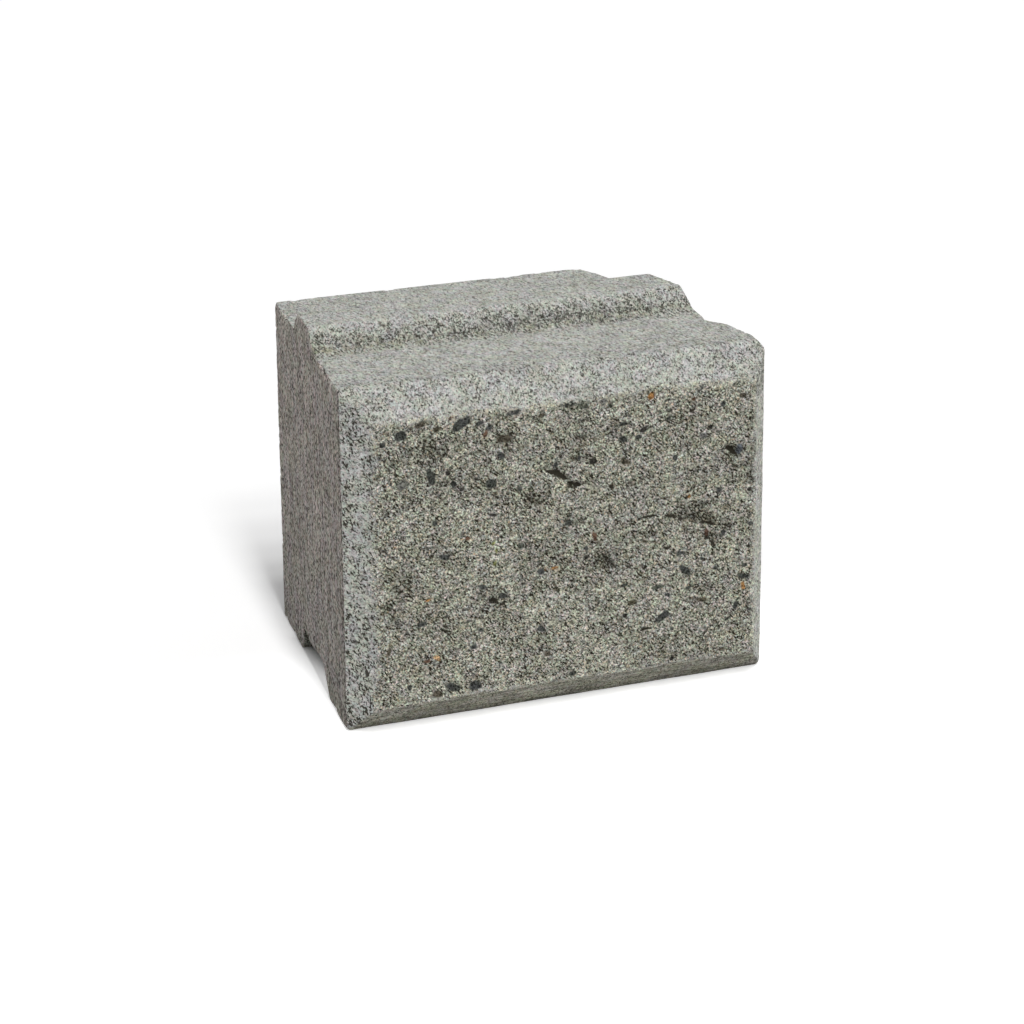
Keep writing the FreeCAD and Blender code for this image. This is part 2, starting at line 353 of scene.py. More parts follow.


# cracks and hollows: how deep they sink, the painted shade of the hollows, the gap to the nearest crack, and
# how dark that crack's painted shade is
def brokenPlaces(x, z, f):
    flat = np.stack([x, np.zeros_like(x), z], axis=1)
    depth, shade, dark = np.zeros((3, len(x)))
    nearest = np.full(len(x), farCrack)
    movedX = x + f["crackWobble"] * latticeNoise(flat, f["wobbleSize"], 51)
    movedZ = z + f["crackWobble"] * latticeNoise(flat, f["wobbleSize"], 52)
    ragged = mixedNoise(flat, f["hollowNoise"])
    for line, deep, crackShadeLevel in f["cracks"]:
        gap = crackGap(movedX, movedZ, line)
        depth += deep * np.exp(-0.5 * gap ** 2)
        closer = gap < nearest
        nearest[closer] = gap[closer]
        dark[closer] = crackShadeLevel
    for (cx, cz), radius, deep, soft in f["hollows"]:
        gap = np.maximum(np.hypot(x - cx, (z - cz) * f["hollowSquat"]) / radius + ragged, 0)
        depth += deep * np.exp(-gap ** 2)
        shade = np.maximum(shade, f["hollowShade"] * soft * np.exp(-1.5 * gap ** 2))
    return depth, shade, nearest, dark


# depth of the fracture behind the front plane, from x and z and the distance to its rim
def fractureDepth(x, z, rimGap, f):
    flat = np.stack([x, np.zeros_like(x), z], axis=1)
    depth = f["hillDepth"] * hillWaves(x, z, f)
    depth += f["lumpDepth"] * cloudNoise(flat, f["lumpSize"], 3, 11)
    bend = [latticeNoise(flat, f["warpSize"], 21), 0 * x, latticeNoise(flat, f["warpSize"], 22)]
    depth += f["flakeDepth"] * flakeNoise(flat + f["flakeWarp"] * np.stack(bend, axis=1), f["flakeSize"], 31)
    depth += f["gritDepth"] * cloudNoise(flat, f["gritSize"], 2, 41)
    depth += brokenPlaces(*asSeen(x, z, depth, f), f)[0]
    loss = np.maximum(mixedNoise(flat, f["rimNoise"]), 0)
    depth += f["rimLoss"] * loss * np.exp(-rimGap / f["rimReach"])
    return np.maximum(depth + f["setBack"], 0)


# the block is a rectangle carried from front to back: at each depth its half width, floor and roof follow the
# outlines; the fracture and the back face close its two ends, so six grids of points share their rims
def blockGrids(b, f):
    top, bottom, plan, bevelBack = blockOutlines(b)
    roof = lambda y: np.interp(y, top[:, 0], top[:, 1])
    floor = lambda y: np.interp(y, bottom[:, 0], bottom[:, 1])
    halfWidth = lambda y: np.interp(y, plan[:, 0], plan[:, 1])
    faceWidth = 2 * halfWidth(b["front"])
    faceHeight = roof(b["front"]) - floor(b["front"])
    a = np.linspace(-1, 1, int(faceWidth / b["splitStep"]))
    c = np.linspace(0, 1, int(faceHeight / b["splitStep"]))
    share = np.linspace(0, 1, int(b["bevelSlant"] * b["bevelDepth"] / b["bevelStep"]))
    bodyCount = int((b["back"] - bevelBack) / b["bodyStep"])

    def bodyLine(line, height):
        behind = line[line[:, 0] > bevelBack]
        return evenPoints(np.vstack([[bevelBack, height(bevelBack)], behind]), bodyCount)[1:]

    def spot(across, up, y):
        return np.stack([across * halfWidth(y), y, floor(y) + up * (roof(y) - floor(y))], axis=-1)

    def sheet(across, line):
        x = across * halfWidth(line[..., 0])
        y, z = [np.broadcast_to(line[..., i], x.shape) for i in range(2)]
        return np.stack([x, y, z], axis=-1)

    topBody, bottomBody = bodyLine(top, roof), bodyLine(bottom, floor)
    across, up = np.meshgrid(a, c, indexing="ij")
    near = spot(across, up, np.full(across.shape, b["front"] + f["meanDepth"]))
    rimGap = np.minimum((1 - np.abs(across)) * faceWidth / 2, np.minimum(up, 1 - up) * faceHeight)
    depth = fractureDepth(near[..., 0].ravel(), near[..., 2].ravel(), rimGap.ravel(), f).reshape(across.shape)
    start = b["front"] + depth
    grids = {"split": spot(across, up, start)}

    for name, column, body in (("top", -1, topBody), ("bottom", 0, bottomBody)):    # across and depth
        y = start[:, column, None] + share * (bevelBack - start[:, column, None])
        bevel = spot(a[:, None], 1.0 if name == "top" else 0.0, y)
        grids[name] = np.concatenate([bevel, sheet(a[:, None], body)], axis=1)
    for name, side, row in (("left", -1.0, 0), ("right", 1.0, -1)):                   # up and depth
        y = start[row, :, None] + share * (bevelBack - start[row, :, None])
        bevel = spot(side, c[:, None], y)
        line = bottomBody + c[:, None, None] * (topBody - bottomBody)
        grids[name] = np.concatenate([bevel, sheet(side, line)], axis=1)
    grids["back"] = sheet(a[:, None], bottomBody[-1] + c[:, None] * (topBody[-1] - bottomBody[-1]))
    return grids, len(share) - 1


# four corners of each cell of a grid that starts at a given vertex number, turned over if asked
def gridCells(shape, first, flip):
    number = first + np.arange(shape[0] * shape[1]).reshape(shape)
    cells = np.stack([number[:-1, :-1], number[1:, :-1], number[1:, 1:], number[:-1, 1:]], axis=-1)
    return cells[..., ::-1] if flip else cells


splitFace, castFace, sideFace = 0, 1, 2    # the three finishes
gridFinish = {"split": splitFace, "top": castFace, "bottom": castFace, "left": sideFace, "right": sideFace,
              "back": sideFace}


# join the six grids: points that coincide at the rims become one, each cell keeps the number of its finish
def weldGrids(grids, bevelCells):
    perMm = 2000    # steps of the lattice on which points count as one
    points, cells, finish, first = [], [], [], 0
    for name, grid in grids.items():
        faces = gridCells(grid.shape[:2], first, name in ("back", "right", "bottom"))
        kind = np.full(faces.shape[:2], gridFinish[name])
        if name in ("left", "right"):
            kind[:, :bevelCells] = castFace
        points.append(grid.reshape(-1, 3))
        cells.append(faces.reshape(-1, 4))
        finish.append(kind.ravel())
        first += grid.shape[0] * grid.shape[1]
    points = np.concatenate(points)
    key = np.round(points * perMm).astype(np.int64)
    kept, index, number = np.unique(key, axis=0, return_index=True, return_inverse=True)
    return points[index], number.ravel()[np.concatenate(cells)], np.concatenate(finish)


# vertex normals: each cell's diagonals crossed, summed at its corners
def vertexNormals(points, cells):
    p = points[cells]
    facing = np.cross(p[:, 2] - p[:, 0], p[:, 3] - p[:, 1])
    sums = [np.bincount(cells.ravel(), np.repeat(part, 4), len(points)) for part in facing.T]
    total = np.stack(sums, axis=1)
    return total / np.maximum(np.linalg.norm(total, axis=1, keepdims=True), 1e-12)


castWear = {
    "waveDepth": 0.35, "waveSize": 22.0,      # slow unevenness of the moulded faces
    "tornDepth": 0.8, "tornSize": 3.2,        # torn texture of the sloping faces
    "dragDepth": 0.25, "dragSize": 5.0, "dragStretch": 0.08,    # upright drag marks of the sides
    "edgeRound": 0.8, "leastRound": 0.3,      # radius of every edge, and the least that is left of it
    "chipRound": 4.5, "chips": [(1.0, 7.0, 97), (0.6, 7.0 / 3, 98)],    # strength, size and seed
    "rubbedRound": 1.5,                       # the upper right edge is rubbed rounder, from x, z and y on
    "rubbedFrom": (40, 120, -50), "rubbedRise": (20, 20, 12),
    "cornerRound": 2.0, "cornerReach": 7.0,   # so are the four corners behind the bevels
    "bites": [    # middle (x, y, z) and reach of larger chips, and the radius they add or take
        ((122, -35, 200), 8.5, 10.0), ((117, 0, 212), 10.0, -9.0), ((130, -88, 200), 9.0, 4.0),
        ((-123, -34, 200), 4.0, 5.0), ((-124, -52, 200), 5.0, 6.0), ((-126, -66, 200), 4.0, 4.0),
        ((-103, 74, 200), 7.0, 5.0), ((-108, 37, 211), 5.0, 5.0), ((100, 104, 199), 9.0, 4.0),
    ],
    "lump": ((-113, 14, 16.5), (12, 16, 8), 3.4),    # concrete left on the groove's roof: middle, reach, drop
}


# gaps from each point to the side, top, bottom and back faces, and the way inward from each
def faceGaps(points, b):
    top, bottom, plan, bevelBack = blockOutlines(b)
    x, y, z = points.T
    gaps = np.stack([np.interp(y, plan[:, 0], plan[:, 1]) - np.abs(x), np.interp(y, top[:, 0], top[:, 1]) - z,
                     z - np.interp(y, bottom[:, 0], bottom[:, 1]), b["back"] - y], axis=1)
    inward = np.zeros((len(points), 4, 3))
    inward[:, 0, 0] = -np.sign(x)
    inward[:, 1, 2] = -1
    inward[:, 2, 2] = 1
    inward[:, 3, 1] = -1
    return np.maximum(gaps, 0), inward


# worn edges: the square of the gaps to the two nearest faces is drawn onto a circle of the edge's radius
def wornEdges(points, b, w):
    x, y, z = points.T
    gaps, inward = faceGaps(points, b)
    order = np.argsort(gaps, axis=1)[:, :2]
    near = np.take_along_axis(gaps, order, axis=1)
    radius = w["edgeRound"] + w["chipRound"] * np.maximum(mixedNoise(points, w["chips"]), 0) ** 2
    beyond = np.stack([x, z, y], axis=1) - w["rubbedFrom"]
    rubbed = np.clip(beyond * (1, 1, -1) / w["rubbedRise"], 0, 1)    # y runs forward
    radius += w["rubbedRound"] * np.prod(rubbed, axis=1)
    along = np.abs(y - b["front"] - b["bevelDepth"])
    radius += w["cornerRound"] * np.exp(-(along / w["cornerReach"]) ** 2)
    for middle, reach, extra in w["bites"]:
        radius += extra * np.exp(-np.sum((points - np.array(middle)) ** 2, axis=1) / reach ** 2)
    arm = np.maximum(np.maximum(radius, w["leastRound"])[:, None] - near, 0)
    length = np.maximum(np.linalg.norm(arm, axis=1, keepdims=True), 1e-9)
    inset = arm * (1 - arm.max(axis=1, keepdims=True) / length)
    ways = np.take_along_axis(inward, order[:, :, None], axis=1)
    points = points + np.sum(inset[:, :, None] * ways, axis=1)
    middle, reach, drop = w["lump"]
    points[:, 2] -= drop * np.exp(-np.sum(((points - middle) / reach) ** 2, axis=1))
    return points


# how far each moulded point sinks in: slow waves, torn texture on the slopes, drag marks on the sides
def castSink(points, normals, w):
    upright = np.clip((np.abs(normals[:, 0]) - 0.9) / 0.08, 0, 1)
    slope = np.clip((1 - np.abs(normals[:, 2])) / 0.2, 0, 1) * (1 - upright) * (normals[:, 2] > -0.3)
    sink = w["waveDepth"] * (0.5 + 0.5 * cloudNoise(points, w["waveSize"], 2, 81))
    sink += w["tornDepth"] * slope * np.maximum(cloudNoise(points, w["tornSize"], 2, 91) + 0.1, 0)
    dragged = points * np.array([1, 1, w["dragStretch"]])
    sink += w["dragDepth"] * upright * (0.5 + 0.5 * cloudNoise(dragged, w["dragSize"], 2, 95))
    return sink


# distance in millimetres from each point of the split face to its rim; behind the rim it is below zero
def splitGaps(points, split, b):
    rimDepth, behindScale = 2.5, 1.4
    gaps, inward = faceGaps(points, b)
    behind = behindScale * np.maximum(points[:, 1] - b["front"] - rimDepth, 0)
    return np.where(split > 0, gaps[:, :3].min(axis=1), -behind)


# distance to the outline of the nearest stone, below zero inside it, and that stone's colour
def stoneFields(points, stones):
    squareness = 2.6    # 2 is an ellipse, more is squarer
    gap = np.full(len(points), farStone)
    colour = np.zeros((len(points), 3))
    wobble = 0.5 * latticeNoise(points, 2.5, 111)
    everyStone = [(*stone, tint) for tint, group in stones.values() for stone in group]
    for x, z, length, width, tilt, tint in everyStone:
        turn = math.radians(tilt)
        along = (points[:, 0] - x) * math.cos(turn) + (points[:, 2] - z) * math.sin(turn)
        over = (points[:, 2] - z) * math.cos(turn) - (points[:, 0] - x) * math.sin(turn)
        reach = np.abs(2 * along / length) ** squareness + np.abs(2 * over / width) ** squareness
        here = (reach ** (1 / squareness) - 1) * min(length, width) / 2 + wobble
        closer = here < gap
        gap[closer] = here[closer]
        colour[closer] = tint
    return gap, colour


skinWear = {    # share of open pits, and what patches add to it
    "flats": (0.02, 0.03), "topBevel": (0.11, 0.15), "tongueFoot": (0.46, 0.18), "lowBevel": (0.16, 0.16),
    "torn": (0.28, 0.28), "tornLess": 0.0006, "tornRight": 0.07,    # torn side bevels, less so higher up
    # grooveRear: dark pits on the groove's rear wall, painted shade under the groove's roof
    "bevelMore": (0.03, 0.06), "moreAcross": (20, 100), "sideBevel": 0.05, "grooveRear": 0.55,
    "patchSize": 16.0, "turnedDown": (0.25, 0.55), "turnedAside": (0.35, 0.6),    # parts of the normal
    "topReach": 30.0, "edgeBand": (1.5, 5.0), "mossBand": (1.0, 10.0), "creamBand": (0.5, 3.5),
}


# how open the cast skin is: flats are closed, bevels pitted, the tongue's front slope most of all, and the
# groove's rear wall is painted dark with pits as shade;
# and how torn it is, on the side bevels
def skinOpenness(points, normals, b, w):
    x, y, z = points.T
    patchy = cloudNoise(points, w["patchSize"], 3, 121)
    flats, topBevel, tongueFoot, lowBevel, torn = [
        w[name][0] + w[name][1] * patchy for name in ("flats", "topBevel", "tongueFoot", "lowBevel", "torn")]
    rear = b["back"] - b["tongueRearSetback"]
    bevelBack = b["front"] + b["bevelDepth"]
    above = z > b["courseHeight"] - w["topReach"]
    more, moreRight = w["bevelMore"]
    opening = flats + above * topBevel * rise(-y, -bevelBack - 26, -bevelBack)
    onBevel = rise(-y, -bevelBack - 4, -bevelBack + 2)
    opening += above * onBevel * (more + moreRight * rise(x, *w["moreAcross"]))
    opening += (z > b["courseHeight"] - 2) * band(y, rear - b["tongueBase"] + 4, 11) ** 0.6 * tongueFoot
    sideBevel = (y < bevelBack) * rise(np.abs(normals[:, 0]), *w["turnedAside"])
    opening += sideBevel * w["sideBevel"]
    opening += (y < bevelBack) * rise(-normals[:, 2], *w["turnedDown"]) * lowBevel
    # painted shade: extra dark pits on the groove's rear wall, where the roof keeps the light out
    opening += w["grooveRear"] * (z < b["grooveHeight"] + 1) * band(y, rear - 3, 8)
    torn = sideBevel * np.where(x < 0, torn - w["tornLess"] * z, w["tornRight"])
    return np.clip(opening, 0, 1), np.clip(torn, 0, 1)


def readArray(items, name, kind, width=1):
    values = np.empty(len(items) * width, kind)
    items.foreach_get(name, values)
    return values


def storeField(mesh, name, values, kind="FLOAT", place="value"):
    layer = mesh.attributes.new(name, kind, "POINT")
    layer.data.foreach_set(place, np.ascontiguousarray(values, np.float32).ravel())


# values that the materials read at each point, worked out from where the point lies
def storeFields(mesh, b, f, w, stones):
    points = readArray(mesh.vertices, "co", np.float32, 3).reshape(-1, 3).astype(float) / mm
    normals = readArray(mesh.vertices, "normal", np.float32, 3).reshape(-1, 3).astype(float)
    finish = readArray(mesh.polygons, "material_index", np.int32)
    totals = readArray(mesh.polygons, "loop_total", np.int32)
    corners = readArray(mesh.loops, "vertex_index", np.int32)
    x, y, z = points.T
    split = np.zeros(len(points))
    split[corners[np.repeat(finish, totals) == splitFace]] = 1
    nearFront = y < b["front"] + 15
    seenX, seenZ = asSeen(x, z, y - b["front"] - f["meanDepth"], f)    # stones and cracks lie as seen
    stone, colour = stoneFields(np.stack([seenX, y, seenZ], axis=1), stones)
    shade, crack, dark = brokenPlaces(seenX, seenZ, f)[1:]
    rim = splitGaps(points, split, b)
    foot = b["back"] - b["tongueRearSetback"] - b["tongueBase"]
    bevelBack = b["front"] + b["bevelDepth"]
    opening, torn = skinOpenness(points, normals, b, w)
    fields = {
        "splitGap": rim, "opening": opening, "torn": torn, "crackShade": dark,
        "stoneGap": np.where(nearFront, stone, farStone),
        "shade": np.where(nearFront, shade, 0.0),
        "crackGap": np.where(nearFront, crack, farCrack),
        "edge": band(y, bevelBack + w["edgeBand"][0], w["edgeBand"][1]),
        "moss": (z > b["courseHeight"] - 4) * band(y, foot + w["mossBand"][0], w["mossBand"][1]),
        "cream": (z > b["courseHeight"] - w["topReach"]) * band(rim, *w["creamBand"]),
        # faces turned down get the darker, olive, streaked underside skin: partly their own finish, partly
        # painted shade
        "underFinishAndShade": rise(-normals[:, 2], *w["turnedDown"]),
        # partly painted light: the bevels that face right get a paler skin, as the lit side of the block,
        # partly their own smoother skin
        "pale": (y < bevelBack) * rise(normals[:, 0], *w["turnedAside"]),
    }
    for name, values in fields.items():
        storeField(mesh, name, values)
    storeField(mesh, "stoneColour", np.column_stack([colour, np.ones(len(points))]), "FLOAT_COLOR", "color")


def makeBlock(b, f, w):
    grids, bevelCells = blockGrids(b, f)
    points, cells, finish = weldGrids(grids, bevelCells)
    cast = np.ones(len(points))
    cast[cells[finish == splitFace].ravel()] = 0
    points = wornEdges(points, b, w)
    normals = vertexNormals(points, cells)
    points = points - normals * (cast * castSink(points, normals, w))[:, None]
    print("block grid", len(points), "points", len(cells), "cells")
    mesh = bpy.data.meshes.new("castBlock")
    mesh.from_pydata((points * mm).tolist(), [], cells.tolist())
    mesh.polygons.foreach_set("material_index", finish.astype(np.int32))
    mesh.update()
    piece = bpy.data.objects.new("castBlock", mesh)
    bpy.context.scene.collection.objects.link(piece)
    thin = piece.modifiers.new("thin", "DECIMATE")
    thin.ratio = b["triangles"] / (2 * len(cells))
    bpy.context.view_layer.update()
    thinned = bpy.data.meshes.new_from_object(piece.evaluated_get(bpy.context.evaluated_depsgraph_get()))
    piece.modifiers.clear()
    piece.data = thinned
    bpy.data.meshes.remove(mesh)
    thinned.name = "castBlock"
    corners = readArray(thinned.vertices, "co", np.float32, 3).reshape(-1, 3)
    inside = np.clip(corners, nodeLow, nodeHigh)    # thinning pushes a few points out by a hair
    thinned.vertices.foreach_set("co", inside.astype(np.float32).ravel())
    thinned.polygons.foreach_set("use_smooth", np.ones(len(thinned.polygons), bool))
    storeFields(thinned, b, f, skinWear, stones)
    print("block thinned to", len(thinned.polygons), "faces")
    return piece


block3d = makeBlock(block, fracture, castWear)


# a node of a tree, its inputs given as numbers or as outputs of other nodes
def addNode(tree, kind, inputs, **settings):
    node = tree.nodes.new("ShaderNode" + kind)
    for key, value in settings.items():
        setattr(node, key, value)
    for key, value in inputs.items():
        if isinstance(value, bpy.types.NodeSocket):
            tree.links.new(value, node.inputs[key])
        else:
            node.inputs[key].default_value = value
    return node


def addMath(tree, operation, *values, clamp=False):
    return addNode(tree, "Math", dict(enumerate(values)), operation=operation, use_clamp=clamp).outputs[0]


def addMix(tree, factor, first, second, blend="MIX"):
    first, second = [(*v, 1) if isinstance(v, tuple) else v for v in (first, second)]
    inputs = {0: factor, 6: first, 7: second}
    return addNode(tree, "Mix", inputs, data_type="RGBA", blend_type=blend).outputs[2]


def addTint(tree, colour, tint):
    return addMix(tree, 1.0, colour, tint, "MULTIPLY")


def addProduct(tree, first, second):
    return addMath(tree, "MULTIPLY", first, second)


def addBlend(tree, factor, first, second):
    return addNode(tree, "Mix", {0: factor, 2: first, 3: second}).outputs[0]


# soft step from one level to another
def addStep(tree, value, low, high, start=0.0, end=1.0):
    inputs = {"Value": value, "From Min": low, "From Max": high, "To Min": start, "To Max": end}
    return addNode(tree, "MapRange", inputs, interpolation_type="SMOOTHSTEP").outputs["Result"]


def addRamp(tree, value, stops, interpolation="LINEAR"):
    node = addNode(tree, "ValToRGB", {"Fac": value})
    node.color_ramp.interpolation = interpolation
    while len(node.color_ramp.elements) < len(stops):
        node.color_ramp.elements.new(1.0)
    for element, (place, colour) in zip(node.color_ramp.elements, stops):
        element.position = place
        element.color = (*colour, 1)
    return node.outputs["Color"]


def addNoise(tree, vector, size):
    return addNode(tree, "TexNoise", {"Vector": vector, "Scale": 1 / size, "Detail": 3.0}).outputs["Fac"]


def addVector(tree, operation, inputs):
    return addNode(tree, "VectorMath", inputs, operation=operation).outputs[0]


def addStretch(tree, vector, stretch):
    return addVector(tree, "MULTIPLY", {0: vector, 1: stretch})


def addField(tree, name, output="Fac"):
    return addNode(tree, "Attribute", {}, attribute_name=name).outputs[output]


def addGroup(tree, group, inputs):
    return addNode(tree, "Group", inputs, node_tree=group).outputs


def newGroup(name, inputs, outputs):
    tree = bpy.data.node_groups.new(name, "ShaderNodeTree")
    for label, kind in inputs.items():
        tree.interface.new_socket(label, in_out="INPUT", socket_type="NodeSocket" + kind)
    for label, kind in outputs.items():
        tree.interface.new_socket(label, in_out="OUTPUT", socket_type="NodeSocket" + kind)
    return tree, tree.nodes.new("NodeGroupInput").outputs, tree.nodes.new("NodeGroupOutput").inputs


# sand: cells of the given number per millimetre, each with its own tone, kind and height
def sandGrainGroup():
    doming = -0.9    # grains fall away from their middles
    tree, given, result = newGroup("sandGrain", {"Vector": "Vector", "Scale": "Float"},
                                   {"Tone": "Float", "Kind": "Float", "Height": "Float"})
    cells = addNode(tree, "TexVoronoi", {"Vector": given["Vector"], "Scale": given["Scale"]})
    parts = addNode(tree, "SeparateColor", {"Color": cells.outputs["Color"]})
    tree.links.new(parts.outputs["Red"], result["Tone"])
    tree.links.new(parts.outputs["Green"], result["Kind"])
    lift = addMath(tree, "MULTIPLY_ADD", cells.outputs["Distance"], doming, parts.outputs["Blue"])
    tree.links.new(lift, result["Height"])
    return tree


# pits: ragged cells of the given number per millimetre, empty where their own chance falls below the opening
def openPitGroup():
    stirring, sharpness = 1.2, 9.0
    tree, given, result = newGroup("openPits", {"Vector": "Vector", "Scale": "Float", "Opening": "Float"},
                                   {"Pit": "Float"})
    unit = addVector(tree, "SCALE", {0: given["Vector"], "Scale": given["Scale"]})
    stir = addNode(tree, "TexNoise", {"Vector": unit, "Scale": 1.0, "Detail": 1.0}).outputs["Color"]
    ragged = addVector(tree, "MULTIPLY_ADD", {0: stir, 1: (stirring, stirring, stirring), 2: unit})
    cells = addNode(tree, "TexVoronoi", {"Vector": ragged, "Scale": 1.0})
    chance = addNode(tree, "SeparateColor", {"Color": cells.outputs["Color"]}).outputs["Red"]
    depth = addMath(tree, "SUBTRACT", given["Opening"], chance)
    tree.links.new(addMath(tree, "MULTIPLY_ADD", depth, sharpness, 0.5, clamp=True), result["Pit"])
    return tree


# slow drift of hue: a soft noise of the given number per millimetre leads from one tint to another
def hueDriftGroup():
    tree, given, result = newGroup(
        "hueDrift", {"Vector": "Vector", "Scale": "Float", "From": "Color", "To": "Color"}, {"Tint": "Color"})
    noise = addNode(tree, "TexNoise", {"Vector": given["Vector"], "Scale": given["Scale"], "Detail": 3.0})
    share = addStep(tree, noise.outputs["Fac"], 0.34, 0.66)
    tree.links.new(addMix(tree, share, given["From"], given["To"]), result["Tint"])
    return tree


sandGrain = sandGrainGroup()
openPits = openPitGroup()
hueDrift = hueDriftGroup()


def newMaterial(name):
    material = bpy.data.materials.new(name)
    material.use_nodes = True
    tree = material.node_tree
    place = addStretch(tree, addNode(tree, "TexCoord", {}).outputs["Object"], (1 / mm, 1 / mm, 1 / mm))
    return material, tree, place


def addGrain(tree, vector, size):
    return addGroup(tree, sandGrain, {"Vector": vector, "Scale": 1 / size})


def addPits(tree, vector, size, opening):
    return addGroup(tree, openPits, {"Vector": vector, "Scale": 1 / size, "Opening": opening})["Pit"]


# what both concretes share: the drift of hue over the colour, the roughness, the faint gloss and the bump
def finishConcrete(tree, k, place, colour, height):
    shader = tree.nodes["Principled BSDF"]
    drift = {"Vector": place, "Scale": 1 / k["driftSize"], "From": k["oliveTint"], "To": k["ashTint"]}
    colour = addTint(tree, colour, addGroup(tree, hueDrift, drift)["Tint"])
    tree.links.new(colour, shader.inputs["Base Color"])
    shader.inputs["Roughness"].default_value = k["roughness"]
    shader.inputs["Specular IOR Level"].default_value = k["specular"]
    bump = addNode(tree, "Bump", {"Height": height, "Strength": k["bump"], "Distance": k["bumpHeight"]})
    tree.links.new(bump.outputs[0], shader.inputs["Normal"])


wide, falling, spread = (0.3, 0.7), (0.65, 0.35), (0.42, 0.66)    # from and to, within a noise's range
mouldedLook = {
    "skin": (0.755, 0.755, 0.715), "paleLitSkin": (0.950, 0.945, 0.880), "underSkinAndShade": (0.680, 0.660, 0.560),
    "pitShadeColour": (0.060, 0.056, 0.048), "paintedShadeColour": (0.034, 0.030, 0.022),
    "mossColour": (0.500, 0.500, 0.370), "creamColour": (0.780, 0.750, 0.560),
    "skinTones": [(0.05, (0.15, 0.15, 0.15)), (0.25, (0.50, 0.50, 0.50)), (0.5, (0.76, 0.76, 0.76)),
                  (0.85, (1, 1, 1))],
    "skinTints": [(0.0, (1, 1, 0.985)), (0.40, (0.915, 1, 0.955)), (0.70, (1, 0.94, 0.94)),
                  (0.92, (0.80, 0.73, 0.69))],
    "grainTones": [(0.0, (0.125, 0.125, 0.104)), (0.25, (0.380, 0.377, 0.313)), (0.5, (0.615, 0.610, 0.516)),
                   (0.75, (0.820, 0.814, 0.705)), (1.0, (1.000, 0.990, 0.898))],
    "fineTones": [(0.0, (0.25, 0.25, 0.25)), (0.6, (1, 1, 1))],
    "grainTints": [(0.0, (1, 0.985, 0.95)), (0.28, (0.91, 1, 0.94)), (0.52, (1, 0.91, 0.94)),
                   (0.72, (0.90, 0.96, 1)), (0.80, (0.92, 0.81, 0.72)), (0.92, (0.62, 0.66, 0.69)),
                   (0.995, (0.95, 0.74, 0.58))],
    "oliveTint": (0.980, 1, 0.935, 1), "ashTint": (1, 0.985, 1.045, 1),
    "speckSize": 0.9, "fineSize": 0.5, "pitSize": 0.70, "tornSize": 0.9, "grainSize": 0.9, "dashSize": 0.65,
    "blotchSize": 18.0, "smearSize": 4.0, "streakSize": 1.8, "driftSize": 8.0,
    "speckDepth": 0.38, "streakStretch": 0.12, "dashStretch": 0.45, "dashTurn": -45.0,
    "underShades": (0.50, 1.05), "skinShades": (0.86, 1.0), "pitShades": (0.35, 1.0),    # least and most
    "grainShades": (0.83, 1.02), "stoneShades": (0.25, 1.9), "clumping": (0.4, 1.6), "loosening": (0.5, 1.5),
    "shadowDashes": 0.17, "shadeDashes": 0.5, "skinFine": 0.45, "stoneFine": 0.35,
    "border": 4.0, "roughness": 0.95, "specular": 0.10, "bump": 1.0, "bumpHeight": 0.0005,
}


